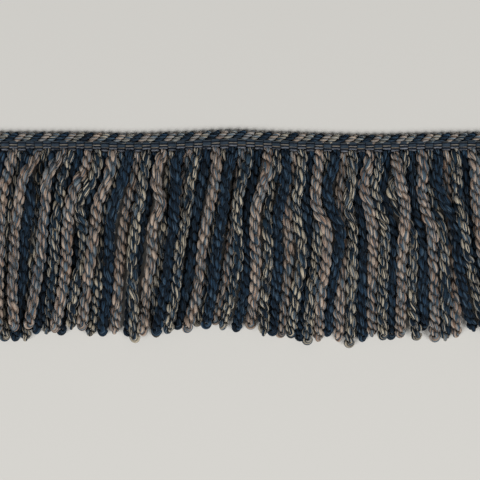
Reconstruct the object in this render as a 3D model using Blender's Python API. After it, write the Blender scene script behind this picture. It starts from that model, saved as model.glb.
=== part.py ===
"""Bullion fringe: a woven heading and a skirt of 63 twisted cords, lying flat on its back.

Metres, +Z up. The heading runs along X, the cords fall towards -Y, and Z is the thickness.
"""

from collections import namedtuple

import bmesh
import bpy
import numpy as np
from mathutils import Matrix

MM = 0.001

REPEATS = 21
YARNS = ("navy", "taupe", "cream")
STITCHES = REPEATS * len(YARNS)
PITCH = 4.255 * MM
WIDTH = STITCHES * PITCH
GAP = 0.3 * MM
WELD = 0.01 * MM

# The stitches crowd a little to one side of the middle, and the heading sags a little to the other.
DRIFT = 1.4 * MM
DRIFT_AT = -44 * MM
DRIFT_REACH = 40 * MM
SAG = 1.3 * MM
SAG_AT = 61 * MM
SAG_REACH = 50 * MM
SAG_CUTS = 2 * REPEATS - 1

# The heading: a web with one block and one slanted rib for each stitch.
HEADING_HEIGHT = 10.0 * MM
WEB_THICKNESS = 1.7 * MM
RELIEF_TOP = 3.1 * MM
RELIEF_FOOT = 0.8 * MM
BLOCK_WIDTH = 3.45 * MM
BLOCK_HEIGHT = 4.0 * MM
BLOCK_LOW = 0.35 * MM
BLOCK_STEP = 0.7 * MM
RIB_LOW = 5.4 * MM
RIB_HIGH = HEADING_HEIGHT + 0.3 * MM
RIB_WIDTH = 3.5 * MM
RIB_LEAN = 1.1
RELIEF_BEVEL = 0.55 * MM

# The skirt: a narrow strip under the heading, and the cords rooted in it.
STRIP_HEIGHT = 2.4 * MM
STRIP_THICKNESS = 3.2 * MM
CORD_WIDTH = 3.5 * MM
CORD_THICKNESS = 3.0 * MM
SLANT_SPREAD = 1.12
CORD_SPAN = SLANT_SPREAD * CORD_WIDTH + GAP
ROOT_DEPTH = 1.5 * MM
ROOT_CLIMB = 1.9
ROOT_SLIMMING = (0.74, 0.78, 0.9)
ROW_STEP = 0.5 * MM
LIFT_REACH = 4

# Depths under the heading, in mm, at which a cord has a point, and the least length of its last run.
STATIONS = (1.5, 3, 5, 9, 14, 20, 26, 32, 38, 45, 52, 60, 68, 76, 84)
LAST_RUN = 3

# How far each cord has leaned sideways at each depth under the heading, in mm, its whole drop in mm,
# and the layer it lies in, from 0 at the bottom. One row for each cord, from the left edge to the right.
LEAN_DEPTHS = (0, 8, 16, 26, 38, 52, 68)
Cord = namedtuple("Cord", "at_8 at_16 at_26 at_38 at_52 at_68 at_tip drop layer")
CORDS = (
    Cord(-2, -5, -7, -8.5, -9.5, -10.5, -11.5, 92.5, 0.5),
    Cord(-2, -4.5, -6.5, -7.5, -8, -9, -10, 90, 2),
    Cord(-2, -5, -7, -8, -8, -9, -10, 94.5, 1),
    Cord(-2, -4.5, -6.5, -7.5, -8, -8.5, -9, 92, 0),
    Cord(-1.5, -4, -5.5, -6.5, -6.5, -7, -7.5, 91, 2),
    Cord(-1, -3, -5.5, -8, -8.5, -9, -8.5, 94.5, 1),
    Cord(-2, -0.5, 0.5, -2, -3.5, -4, -7.5, 94, 0),
    Cord(-4, -7.5, -9.5, -11.5, -12, -12.5, -11, 90, 2),
    Cord(-1.5, -4, -5.5, -6.5, -8, -10, -11, 94.5, 1),
    Cord(-2.5, -2, -1.5, -2.5, -3.5, -5.5, -10, 91, 0),
    Cord(-5, -8, -8.5, -10, -11, -13.5, -17.5, 89, 2),
    Cord(-2.5, -4, -6, -8, -8.5, -9.5, -13, 91.5, 1),
    Cord(-2, -5, -7, -8, -9, -9, -9.5, 92, 0),
    Cord(-1, -6, -8.5, -10, -10.5, -12, -17, 89.5, 2),
    Cord(0.5, -2.5, -8.5, -6.5, -6, -10.5, -12.5, 88.5, 1),
    Cord(-1.5, -4.5, -8, -9, -10.5, -12, -13, 84.5, 0),
    Cord(-1, -3, -7.5, -9, -10.5, -13, -15.5, 89.5, 2),
    Cord(-1.5, -4, -7, -9, -12, -12, -16, 92, 1),
    Cord(-1.5, -4, -7.5, -10, -11, -11.5, -14, 92.5, 1),
    Cord(-1, -2.5, -5.5, -8.5, -9.5, -10.5, -12, 90.5, 0),
    Cord(-0.5, -2, -3, -4.5, -6.5, -6, -5.5, 95, 2),
    Cord(-1.5, -3, -6, -11, -13, -14, -14, 93, 0),
    Cord(-3, -3.5, -1, -5.5, -5.5, -8.5, -10, 92, 2),
    Cord(-0.5, -1.5, -4, -3.5, -5.5, -8, -8, 93, 1),
    Cord(-2.5, -2, -3, -3.5, -5.5, -7.5, -12.5, 92, 1.5),
    Cord(-1.5, -4, -5.5, -6, -7, -9, -10.5, 85.5, 0),
    Cord(-2.5, -4, -5, -7, -9.5, -11, -15.5, 90.5, 2),
    Cord(-1, -2.5, -4.5, -6.5, -8, -10, -15.5, 89, 1),
    Cord(1, 0, -2.5, -5, -7, -8.5, -15, 90.5, 2),
    Cord(-1, -1.5, -2.5, -5, -6.5, -8, -14.5, 87.5, 0),
    Cord(-2, -4, -4.5, -6.5, -8.5, -10, -14, 88.5, 1),
    Cord(-1, -2, -3.5, -5, -6.5, -9.5, -14, 84.5, 0),
    Cord(-2, -4.5, -6.5, -6.5, -6, -9, -14.5, 89, 2),
    Cord(-3, -4.5, -5.5, -6, -6, -7, -12, 90.5, 1),
    Cord(0, -2, -6, -6.5, -6, -6.5, -9, 89, 2),
    Cord(0, -2, -3.5, -4.5, -4, -5.5, -6.5, 92.5, 1.5),
    Cord(0.5, 0, -2.5, -4, -3.5, -4.5, -6.5, 92, 1),
    Cord(0, -2, -3.5, -2.5, -2, -3, -7, 93, 0),
    Cord(0, -1.5, -3, -1.5, 0, -2.5, -6, 93.5, 2),
    Cord(-1, -1.5, -2, -1, -1.5, -3, -5.5, 94.5, 0.5),
    Cord(-0.5, -1.5, -1.5, 3.5, 3.5, 1, -0.5, 95, 2),
    Cord(-0.5, -2, -4, -5, -5.5, -8, -10.5, 96.5, 1),
    Cord(-2, -4.5, -3, 3.5, 0.5, -2.5, -4.5, 92, 1.5),
    Cord(-1, -2, -3, -1, 0, -2, -3, 94.5, 1),
    Cord(-0.5, -1, -2.5, -0.5, -0.5, -0.5, -2, 97.5, 2),
    Cord(-1.5, -2.5, -1, 1, 0, 0, 0.5, 95, 1),
    Cord(-1.5, -3.5, -1, 1, 1.5, 1, 1, 92.5, 2),
    Cord(-0.5, -2.5, -0.5, 3, 2.5, 2, 2, 94, 1.5),
    Cord(-1, -2.5, -1, 3, 2.5, 2, 2, 94, 0.5),
    Cord(0.5, 2.5, 4.5, 4, 3, 3, 2, 93, 3),
    Cord(-1, -6, -3.5, 3, 4.5, 3.5, 6.5, 95, 1.5),
    Cord(-0.5, -0.5, 0.5, 3.5, 5.5, 6, 6, 89, 1),
    Cord(1, 0, 1.5, 5, 6, 6.5, 7, 95, 2),
    Cord(0.5, 1, 2, 5.5, 7, 8, 8, 94, 1),
    Cord(-0.5, -0.5, 3.5, 8.5, 9.5, 12, 18.5, 88.5, 2),
    Cord(0, -0.5, 2, 1, 2, 4, 5, 94, 0.5),
    Cord(0.5, 1, 1.5, 3.5, 6, 10, 16, 92.5, 2.5),
    Cord(0.5, 0.5, 1, 3, 6, 10, 16, 91.5, 1),
    Cord(1, 1.5, 2, 3, 5, 8, 12.5, 93.5, 2),
    Cord(1, 1.5, 2.5, 4, 6, 8.5, 12, 95, 1.5),
    Cord(1, 2, 3, 5, 7, 9, 12, 91, 0.5),
    Cord(1, 2.5, 4, 5.5, 7, 8.5, 11, 93.5, 2),
    Cord(1, 2.5, 4.5, 6.5, 8.5, 11, 14, 91.5, 1),
)


def stitch_x(index):
    """Where a stitch sits along the heading, with the crowding."""
    even = (index - (STITCHES - 1) / 2) * PITCH
    return even - DRIFT * np.exp(-(((even - DRIFT_AT) / DRIFT_REACH) ** 2))


def sag(x):
    """How far the heading has dropped at x."""
    return -SAG * np.exp(-(((x - SAG_AT) / SAG_REACH) ** 2))


def flowing(knots, values, at):
    """A smooth curve through the values at the knots: cubic Hermite pieces with central slopes."""
    slopes = np.gradient(values, knots)
    piece = np.clip(np.searchsorted(knots, at) - 1, 0, len(knots) - 2)
    length = knots[piece + 1] - knots[piece]
    t = (at - knots[piece]) / length
    start = values[piece] * (1 + 2 * t) * (1 - t) ** 2 + slopes[piece] * length * t * (1 - t) ** 2
    end = values[piece + 1] * (3 - 2 * t) * t**2 + slopes[piece + 1] * length * (t - 1) * t**2
    return start + end


def cord_route(index):
    """Depths under the heading and X positions of one cord's points, root to tip."""
    cord = CORDS[index]
    stations = [depth for depth in STATIONS if depth < cord.drop - LAST_RUN]
    depths = np.array(stations + [cord.drop], dtype=float)
    knots = np.array(LEAN_DEPTHS + (cord.drop,), dtype=float)
    leans = np.array((0,) + cord[: len(LEAN_DEPTHS)], dtype=float)
    return depths * MM, stitch_x(index) + flowing(knots, leans, depths) * MM


def widened(values, reach):
    """The largest of the values within reach places on either side."""
    padded = np.pad(values, reach, mode="edge")
    return np.max([padded[k : k + len(values)] for k in range(2 * reach + 1)], axis=0)


def softened(values, reach):
    """The mean of the values within reach places on either side."""
    padded = np.pad(values, reach, mode="edge")
    return np.mean([padded[k : k + len(values)] for k in range(2 * reach + 1)], axis=0)


def settled_cords():
    """Depths, X and underside heights of every cord, each laid over the lower layers it crosses.

    A cord that comes within CORD_SPAN of a lower one rises to lie GAP above it, and eases up and
    down over LIFT_REACH rows of ROW_STEP. From the strip it climbs at ROOT_CLIMB at most. The
    lowest cords lie on Z = 0.
    """
    routes = [cord_route(index) for index in range(STITCHES)]
    rows = np.arange(0, max(cord.drop for cord in CORDS) * MM, ROW_STEP)
    across = np.array([np.interp(rows, depths, xs) for depths, xs in routes])
    reaches = np.array([rows <= depths[-1] + CORD_WIDTH for depths, _ in routes])
    undersides = np.zeros_like(across)
    order = sorted(range(STITCHES), key=lambda index: CORDS[index].layer)
    for place, index in enumerate(order):
        for lower in order[:place]:
            near = (np.abs(across[index] - across[lower]) < CORD_SPAN) & reaches[lower]
            over = np.where(near, undersides[lower] + CORD_THICKNESS + GAP, 0)
            undersides[index] = np.maximum(undersides[index], over)
        undersides[index] = softened(widened(undersides[index], 2 * LIFT_REACH), LIFT_REACH)
        undersides[index] = np.minimum(undersides[index], ROOT_CLIMB * np.maximum(rows - ROOT_DEPTH, 0))
    return [
        (depths, xs, np.interp(depths, rows, undersides[index]))
        for index, (depths, xs) in enumerate(routes)
    ]


def cord_material(name, colour):
    """Soft matt yarn of one colour, given as linear red, green and blue."""
    material = bpy.data.materials.new(name)
    material.use_nodes = True
    shader = material.node_tree.nodes["Principled BSDF"]
    shader.inputs["Base Color"].default_value = (*colour, 1)
    shader.inputs["Roughness"].default_value = 0.9
    shader.inputs["Metallic"].default_value = 0.0
    material.diffuse_color = (*colour, 1)
    return material


def new_object(name, data, collection):
    obj = bpy.data.objects.new(name, data)
    collection.objects.link(obj)
    return obj


def mesh_object(name, bm, collection):
    mesh = bpy.data.meshes.new(name)
    bm.to_mesh(mesh)
    bm.free()
    return new_object(name, mesh, collection)


def long_bar(name, height, thickness, low, collection):
    """A bar the whole width of the fringe, cut into short lengths so that it can sag."""
    bm = bmesh.new()
    place = Matrix.Translation((0, low + height / 2, thickness / 2))
    bmesh.ops.create_cube(bm, size=1, matrix=place @ Matrix.Diagonal((WIDTH, height, thickness, 1)))
    along = [e for e in bm.edges if abs(e.verts[0].co.x - e.verts[1].co.x) > WIDTH / 2]
    bmesh.ops.subdivide_edges(bm, edges=along, cuts=SAG_CUTS, use_grid_fill=True)
    return mesh_object(name, bm, collection)


def raised_bar(bm, width, low, high, lean, x):
    """A bar of the relief: a box leaning sideways by lean for each unit of height, top edges bevelled."""
    size = Matrix.Diagonal((width, high - low, RELIEF_TOP - RELIEF_FOOT, 1))
    slant = Matrix.Identity(4)
    slant[0][1] = lean
    place = Matrix.Translation((x, (low + high) / 2, (RELIEF_TOP + RELIEF_FOOT) / 2))
    verts = bmesh.ops.create_cube(bm, size=1, matrix=place @ slant @ size)["verts"]
    edges = {e for v in verts for e in v.link_edges}
    top = [e for e in edges if all(v.co.z > RELIEF_TOP - GAP for v in e.verts)]
    bmesh.ops.bevel(bm, geom=top, offset=RELIEF_BEVEL, segments=1, affect="EDGES")


def relief(collection):
    """The blocks and slanted ribs that the cords make in the heading, every second block lower."""
    bm = bmesh.new()
    for index in range(STITCHES):
        x = stitch_x(index)
        low = BLOCK_LOW + BLOCK_STEP * (index % 2)
        raised_bar(bm, BLOCK_WIDTH, low, low + BLOCK_HEIGHT, 0, x)
        rib_x = x + RIB_LEAN * (RIB_HIGH - RIB_LOW) / 2
        if index < STITCHES - 1:
            raised_bar(bm, RIB_WIDTH, RIB_LOW, RIB_HIGH, RIB_LEAN, rib_x)
    return mesh_object("relief", bm, collection)


def cord_profile(collection):
    """The four-sided section of a cord, as a guide curve."""
    curve = bpy.data.curves.new("cord_profile", "CURVE")
    spline = curve.splines.new("POLY")
    spline.points.add(3)
    corners = ((-1, -1), (1, -1), (1, 1), (-1, 1))
    for point, (across, up) in zip(spline.points, corners):
        point.co = (across * CORD_WIDTH / 2, up * CORD_THICKNESS / 2, 0, 1)
    spline.use_cyclic_u = True
    guide = new_object("cord_profile", curve, collection)
    guide.hide_render = True
    guide.display_type = "WIRE"
    return guide


def cord_curve(index, depths, xs, undersides, profile, collection):
    """One cord: a level ribbon of four sides from inside the strip to its tip."""
    curve = bpy.data.curves.new(f"cord_{index}", "CURVE")
    curve.dimensions = "3D"
    curve.twist_mode = "Z_UP"
    curve.bevel_mode = "OBJECT"
    curve.bevel_object = profile
    curve.use_fill_caps = True
    spline = curve.splines.new("POLY")
    ys = sag(stitch_x(index)) - depths
    zs = undersides + CORD_THICKNESS / 2
    zs[0] = STRIP_THICKNESS / 2
    spline.points.add(len(ys) - 1)
    for point, x, y, z in zip(spline.points, xs, ys, zs):
        point.co = (x, y, z, 1)
    for point, share in zip(spline.points, ROOT_SLIMMING):
        point.radius = share
    return new_object(f"cord_{index}", curve, collection)


def as_mesh(obj, collection):
    """The curve object as a mesh object, its caps welded."""
    evaluated = obj.evaluated_get(bpy.context.evaluated_depsgraph_get())
    bm = bmesh.new()
    bm.from_mesh(bpy.data.meshes.new_from_object(evaluated))
    bm.transform(obj.matrix_world)
    bmesh.ops.remove_doubles(bm, verts=bm.verts, dist=WELD)
    bmesh.ops.recalc_face_normals(bm, faces=bm.faces)
    name = obj.name
    bpy.data.objects.remove(obj)
    return mesh_object(name, bm, collection)


def joined(name, objects, collection):
    """One mesh object that holds the given ones, which don't touch one another."""
    bm = bmesh.new()
    for obj in objects:
        bm.from_mesh(obj.data)
        bpy.data.objects.remove(obj)
    return mesh_object(name, bm, collection)


def united(base, addition):
    """Joins the addition to the base as one closed body."""
    modifier = base.modifiers.new("union", "BOOLEAN")
    modifier.operation = "UNION"
    modifier.solver = "EXACT"
    modifier.object = addition
    evaluated = base.evaluated_get(bpy.context.evaluated_depsgraph_get())
    mesh = bpy.data.meshes.new_from_object(evaluated)
    base.modifiers.clear()
    base.data = mesh
    bpy.data.objects.remove(addition)
    return base


def sagged(obj):
    """Drops each point of a straight piece by the heading's sag."""
    for vertex in obj.data.vertices:
        vertex.co.y += sag(vertex.co.x)
    return obj


def build_heading(parts, guides):
    web = long_bar("heading", HEADING_HEIGHT, WEB_THICKNESS, 0, parts)
    heading = sagged(united(web, relief(guides)))
    heading.data.materials.clear()
    heading.data.materials.append(cord_material("slate blue warp yarn", (0.06, 0.08, 0.11)))
    return heading


def build_skirt(parts, guides):
    strip = long_bar("bullion_skirt", STRIP_HEIGHT, STRIP_THICKNESS, -GAP - STRIP_HEIGHT, parts)
    sagged(strip)
    profile = cord_profile(guides)
    cords = [
        cord_curve(index, depths, xs, undersides, profile, guides)
        for index, (depths, xs, undersides) in enumerate(settled_cords())
    ]
    bpy.context.view_layer.update()
    solids = joined("cords", [as_mesh(cord, guides) for cord in cords], guides)
    bpy.data.objects.remove(profile)
    skirt = united(strip, solids)
    skirt.data.materials.clear()
    skirt.data.materials.append(cord_material("navy and taupe bullion cord", (0.07, 0.09, 0.12)))
    return skirt


def centred(objects):
    """Moves the pieces so that the middle of their outline is at X = 0 and Y = 0."""
    points = np.array([tuple(v.co) for obj in objects for v in obj.data.vertices])
    middle = (points.min(axis=0) + points.max(axis=0)) / 2
    for obj in objects:
        obj.data.transform(Matrix.Translation((-middle[0], -middle[1], 0)))


def main():
    for obj in list(bpy.data.objects):
        bpy.data.objects.remove(obj)
    parts = bpy.data.collections.new("Bullion fringe")
    guides = bpy.data.collections.new("Guides")
    bpy.context.scene.collection.children.link(parts)
    bpy.context.scene.collection.children.link(guides)
    centred([build_heading(parts, guides), build_skirt(parts, guides)])


main()
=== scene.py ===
# %% [markdown]
# # A bullion fringe in navy, taupe and cream
#
# A bullion fringe has two parts. Its heading is a narrow band woven from thin warp yarns over
# thick weft, and its skirt is a row of heavy cords. Each cord is one weft yarn thrown out past the
# heading, folded in two and left to twist on itself. This one lies face up on a pale table.
#
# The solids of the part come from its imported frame. Each is only a stand-in for yarn, so this script
# covers both with the real yarns. Lengths are in millimetres until a mesh is made.

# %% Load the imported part
from collections import namedtuple

import bpy
import numpy as np
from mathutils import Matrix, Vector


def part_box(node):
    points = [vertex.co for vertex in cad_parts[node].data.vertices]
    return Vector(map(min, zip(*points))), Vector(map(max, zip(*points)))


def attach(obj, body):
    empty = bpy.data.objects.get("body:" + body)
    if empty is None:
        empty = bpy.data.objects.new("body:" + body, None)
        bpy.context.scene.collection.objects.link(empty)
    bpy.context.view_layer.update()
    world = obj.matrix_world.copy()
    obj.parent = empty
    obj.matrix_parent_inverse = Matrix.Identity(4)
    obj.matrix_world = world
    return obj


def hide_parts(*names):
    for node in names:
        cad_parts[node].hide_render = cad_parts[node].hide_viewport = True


MM = 0.001
TURN = 2 * np.pi

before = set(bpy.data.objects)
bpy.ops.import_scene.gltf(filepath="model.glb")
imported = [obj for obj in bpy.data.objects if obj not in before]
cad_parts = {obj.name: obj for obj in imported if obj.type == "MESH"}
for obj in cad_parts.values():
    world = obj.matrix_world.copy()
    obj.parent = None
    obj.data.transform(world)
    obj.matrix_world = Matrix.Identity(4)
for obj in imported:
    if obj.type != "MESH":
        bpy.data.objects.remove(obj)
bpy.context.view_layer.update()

# %% [markdown]
# ## Where each stitch lies
#
# The heading is one row of stitches, and each stitch holds one cord. A long fringe laid down by hand is
# never quite straight, so three things bend the row a little: the stitches drift sideways, the roots
# of the cords sag, and the heading waves. All three are drawn with bell-shaped bumps. A bump has a
# place, a height and a reach that can each be read off the photograph, as a sine wave's can't.

# %% Stitches along the heading
PITCH = 4.255
STITCHES = 63
# The heading's top edge lies this far above the line of the roots.
HEADING_TOP = 10.3
Bell = namedtuple("Bell", "rise at reach")
DRIFT = Bell(-1.4, -44, 40)
SAG = Bell(-1.3, 61, 50)
HEADING_WAVES = (Bell(-0.65, -56, 17), Bell(1.15, -5, 17), Bell(-0.85, 58, 25))

heading_low, heading_high = [np.array(corner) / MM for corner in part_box("heading")]
ORIGIN_X = heading_low[0] + STITCHES * PITCH / 2
ORIGIN_Y = heading_high[1] - HEADING_TOP


def bell(shape, x):
    """A bump at x: rise x exp(-d x d), where d is the distance from its middle over its reach."""
    return shape.rise * np.exp(-(((x - shape.at) / shape.reach) ** 2))


def stitch_x(place):
    """X of a stitch: even steps, drawn towards one side by a bump."""
    even = (place - (STITCHES - 1) / 2) * PITCH
    return even + bell(DRIFT, even)


def sag(x):
    """How far the roots have dropped at x, as a negative height: one shallow bump."""
    return bell(SAG, x)


def heading_wave(x):
    """How far the heading itself lies above its straight line at x: three bumps, two of them dips."""
    return sum(bell(wave, x) for wave in HEADING_WAVES)


print("origin of the stitches in mm", round(ORIGIN_X, 2), round(ORIGIN_Y, 2))

# %% [markdown]
# ## Where each cord lies
#
# The photograph looks straight down at about half a millimetre to a pixel, so a place in it is a place
# on the table. Each cord's route was read off it: how far the cord has leaned sideways at seven
# depths, how long it is, and which neighbours it lies on. The solids are built on nearly the same
# numbers, so the yarn lies close to them. A smooth curve through a few leans bends as a limp cord
# does, where a row of straight runs would look like wire.

# %% Leans, lengths and layers
LEAN_DEPTHS = (0, 8, 16, 26, 38, 52, 68)
Cord = namedtuple("Cord", "at_8 at_16 at_26 at_38 at_52 at_68 at_tip drop layer")
# From left to right. A lean to the left is negative, and the drop runs from the line of the roots.
CORDS = (
    Cord(-2, -5, -7, -8.5, -9.5, -10.5, -11.5, 92.8, 0.5),
    Cord(-2, -4.5, -6.5, -7.5, -8, -9, -10, 90.3, 2),
    Cord(-2, -5, -7, -8, -8, -9, -10, 94.8, 1),
    Cord(-2, -4.5, -6.5, -7.5, -8, -8.5, -9, 92.3, 0),
    Cord(-1.5, -4, -5.5, -6.5, -6.5, -7, -7.5, 91.3, 2),
    Cord(-1, -3, -5.5, -8, -8.5, -9, -8.5, 95.6, 1),
    Cord(-2, -0.5, 0.5, -2, -3.5, -4, -7.5, 95.6, 1),
    Cord(-4, -7.5, -9.5, -11.5, -12, -12.5, -11, 90.3, 2),
    Cord(-2.5, -3.5, -4, -4.5, -6, -8, -11, 95.7, 0),
    Cord(-2.5, -1.3, -1.5, -2.5, -3.5, -5.5, -10, 92.2, 0),
    Cord(-5, -8, -8.5, -10, -11, -13.5, -17.5, 89.3, 2),
    Cord(-3, -4.7, -6, -8, -8.5, -9.5, -13, 92.3, 1),
    Cord(-2, -5, -7, -8, -9, -9, -9.5, 92.7, 0),
    Cord(-1, -5.4, -8.5, -10, -10.5, -12, -17, 91, 2),
    Cord(0.5, -3, -8.5, -6.5, -6, -10.5, -12.5, 89.5, 1),
    Cord(-1.5, -4.5, -8.6, -12, -13.5, -13.5, -13, 86.3, 0),
    Cord(-1, -3, -7.5, -9, -10.5, -13, -15.5, 90.2, 2),
    Cord(-1.5, -4, -7, -9, -12, -12, -16, 93.1, 1),
    Cord(-1.5, -4, -7.5, -9.5, -10.3, -11, -14, 93.3, 1),
    Cord(-1, -2.5, -4.8, -7.2, -8.7, -9.8, -12, 92.1, 0),
    Cord(-0.5, -2, -3.4, -5.2, -6.9, -6.6, -5.5, 96.3, 2),
    Cord(-1.5, -3, -4.2, -7, -8.6, -11.4, -13.5, 93.3, 0),
    Cord(-2.6, -3.5, -1, -5.5, -5.5, -8.5, -10, 92.6, 2),
    Cord(-1, -2, -4, -3.5, -5.5, -8, -8, 93.8, 1),
    Cord(-2.5, -2, -3, -3.5, -5.5, -7.5, -12.5, 92.7, 1.5),
    Cord(-1.5, -4, -5.5, -6, -7, -9, -10.5, 85.8, 0),
    Cord(-2.5, -4, -5, -7, -9.5, -11, -15.5, 91.8, 2),
    Cord(-1, -2.5, -4.5, -6.5, -8, -10, -15.5, 89.8, 1),
    Cord(0.5, -0.5, -2.5, -5, -7, -8.5, -15, 91.2, 2),
    Cord(-1, -1.5, -2.5, -5, -6.5, -8, -14.5, 88.4, 0),
    Cord(-2, -4, -4.5, -6.5, -8.5, -10, -14, 89.2, 1),
    Cord(-1, -2, -3.5, -5, -6.5, -9.5, -14, 87, 0),
    Cord(-2, -4.5, -6.5, -6.5, -6, -9, -14.5, 89.8, 2),
    Cord(-2.2, -3.8, -5.5, -6, -6, -7, -12, 90.8, 1),
    Cord(0, -2, -5.6, -6.5, -6, -6.5, -9, 89.3, 2),
    Cord(0, -2, -4, -4.5, -4, -5.5, -6.5, 92.2, 1.5),
    Cord(0.5, 0, -2.5, -4, -3.5, -4.5, -6.5, 92.3, 1),
    Cord(0, -2, -3.5, -2.5, -2, -3, -7, 93.3, 0),
    Cord(0, -1.5, -3, -1.5, 0, -2.5, -6, 93.2, 2),
    Cord(-1, -1.5, -2, -1, -1.5, -3, -5.5, 94.6, 0.5),
    Cord(-0.5, -1.5, -1.5, 3.5, 3.5, 1, -0.5, 94.5, 2),
    Cord(-0.5, -2, -4, -5, -5.5, -8, -10.5, 96.1, 1),
    Cord(-2, -4.5, -3.4, 1.8, 0.5, -2.5, -4.5, 92.3, 1.5),
    Cord(-1, -2, -3, -1, 0, -2, -3, 94.8, 1),
    Cord(-0.5, -1, -2.5, -0.5, -0.5, -0.5, -2, 97.5, 2),
    Cord(-1.5, -2.5, -1, 1, 0, 0, 0.5, 94.7, 1),
    Cord(-1.5, -3.5, -1, 1, 1.5, 1, 1, 92, 2),
    Cord(-0.5, -2.5, -0.5, 3, 2.5, 2, 2, 93.6, 1.5),
    Cord(-1, -2.5, -1, 3, 2.5, 2, 2, 93.7, 0.5),
    Cord(0.5, 2.5, 4.5, 4, 3, 3, 2, 92.5, 3),
    Cord(-1, -6, -3.5, 3, 4.5, 3.5, 6.5, 94.3, 1.5),
    Cord(-0.5, -0.5, 0.5, 3.5, 5.5, 5.3, 5.4, 89.3, 1),
    Cord(1, 0, 1.5, 5, 6, 6.5, 7, 95.3, 2),
    Cord(0.5, 1, 2, 5.5, 7, 8, 8, 94.7, 1),
    Cord(-0.5, -0.5, 3.5, 8.5, 9.5, 12, 18.5, 90.3, 2),
    Cord(0, -0.5, 2, 1, 2, 4, 5, 93.3, 0.5),
    Cord(0.5, 1, 1.5, 3.5, 6, 10, 16, 92.8, 2.5),
    Cord(0.5, 0.5, 1, 3, 6, 10, 16, 91.8, 1),
    Cord(1, 1.5, 2, 3, 5, 8, 12.5, 93.8, 2),
    Cord(1, 1.5, 2.5, 4, 6, 8.5, 12, 95.3, 1.5),
    Cord(1, 2, 3, 5, 7, 9, 12, 91.3, 0.5),
    Cord(1, 2.5, 4, 5.5, 7, 8.5, 11, 93.8, 2),
    Cord(1, 2.5, 4.5, 6.5, 8.5, 11, 14, 91.8, 1),
)


def flowing(knots, values, at):
    """A smooth curve through the values at the knots: cubic Hermite pieces with central slopes."""
    slopes = np.gradient(values, knots)
    piece = np.clip(np.searchsorted(knots, at) - 1, 0, len(knots) - 2)
    length = knots[piece + 1] - knots[piece]
    t = (at - knots[piece]) / length
    start = values[piece] * (1 + 2 * t) * (1 - t) ** 2 + slopes[piece] * length * t * (1 - t) ** 2
    end = values[piece + 1] * (3 - 2 * t) * t**2 + slopes[piece + 1] * length * (t - 1) * t**2
    return start + end


print("cords", len(CORDS), "longest in mm", max(cord.drop for cord in CORDS))

# %% [markdown]
# ## How the cords pile up
#
# The cords are thicker than the stitches are wide apart, so they can't all lie on the table. They settle
# as round things do: one that lies on another rests in the hollow beside it, and the closer the two
# are, the higher it lies. Cloth simulation would settle them too, but it would lose the photograph's
# order, so each layer is laid here in turn over the ones below it. Near its root a cord can't lie
# higher than the weave lets it climb.

# %% Settle the cords
CORD_THICKNESS = 4.7
CONTACT_WIDTH = 4.9
CONTACT_HEIGHT = 3.3
ROW_STEP = 0.5
EASE_ROWS = 5
PAST_TIP = 1
ROOT_HEIGHT = 2.4
ROOT_CLIMB = 0.5
ROOT_START = -3.5

rows = np.arange(ROOT_START, max(cord.drop for cord in CORDS), ROW_STEP)
drops = np.array([cord.drop for cord in CORDS])


def across_rows(index):
    """X of one cord at every row of depth."""
    cord = CORDS[index]
    knots = np.array(LEAN_DEPTHS + (cord.drop,), dtype=float)
    leans = np.array((0,) + cord[: len(LEAN_DEPTHS)], dtype=float)
    return stitch_x(index) + flowing(knots, leans, np.clip(rows, 0, cord.drop))


def eased(heights):
    """The highest value near each row, then its mean over the rows near it, so that nothing steps."""
    padded = np.pad(heights, EASE_ROWS, mode="edge")
    highest = np.max([padded[k : k + len(heights)] for k in range(2 * EASE_ROWS + 1)], axis=0)
    padded = np.pad(highest, EASE_ROWS, mode="edge")
    return np.mean([padded[k : k + len(heights)] for k in range(2 * EASE_ROWS + 1)], axis=0)


def settled_heights(across):
    """Centre height of every cord at every row.

    Two cords dx apart touch where their height difference is CONTACT_HEIGHT times the square root of
    one less the square of dx over CONTACT_WIDTH: the rule for two ovals side by side.
    """
    heights = np.full_like(across, CORD_THICKNESS / 2)
    order = sorted(range(STITCHES), key=lambda index: CORDS[index].layer)
    for place, index in enumerate(order[1:], start=1):
        lower = order[:place]
        apart = np.abs(across[lower] - across[index]) / CONTACT_WIDTH
        rise = CONTACT_HEIGHT * np.sqrt(np.clip(1 - apart**2, 0, 1))
        touching = (apart < 1) & (rows[None] < drops[lower, None] + PAST_TIP)
        resting = np.where(touching, heights[lower] + rise, 0).max(axis=0)
        heights[index] = eased(np.maximum(heights[index], resting))
        heights[index] = np.minimum(heights[index], ROOT_HEIGHT + ROOT_CLIMB * rows)
    return heights


across = np.array([across_rows(index) for index in range(STITCHES)])
heights = settled_heights(across)
print("highest cord centre in mm", heights.max().round(2), "mean", heights.mean().round(2))

# %% [markdown]
# ## Less light under other cords
#
# A cord that others lie on gets less light. A renderer finds most of that by itself, but the gaps
# between soft yarns are darker than the gaps between smooth tubes, because light that goes in among
# loose fibres hardly comes out. The rest is worked out here from the heights, once for all views, and
# painted into the yarns' colour as painted shade.

# %% Shade under crossing cords
SHADE_REACH = 8
SHADE_FADE = 9


def shading(across, heights):
    """Share of the light that a cord loses at each row to higher cords, from 0 to 1.

    Each higher cord takes its rise over CONTACT_HEIGHT, times how near it is within SHADE_REACH.
    """
    near = np.clip(1 - np.abs(across[:, None] - across[None]) / SHADE_REACH, 0, 1)
    above = np.clip((heights[None] - heights[:, None]) / CONTACT_HEIGHT, 0, 1)
    present = rows[None, None] < drops[None, :, None]
    fade = np.clip(rows / SHADE_FADE, 0, 1)
    return np.clip((near * above * present).sum(axis=1), 0, 1) * fade


shaded = shading(across, heights)
print("mean share of light lost", shaded.mean().round(2))

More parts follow.
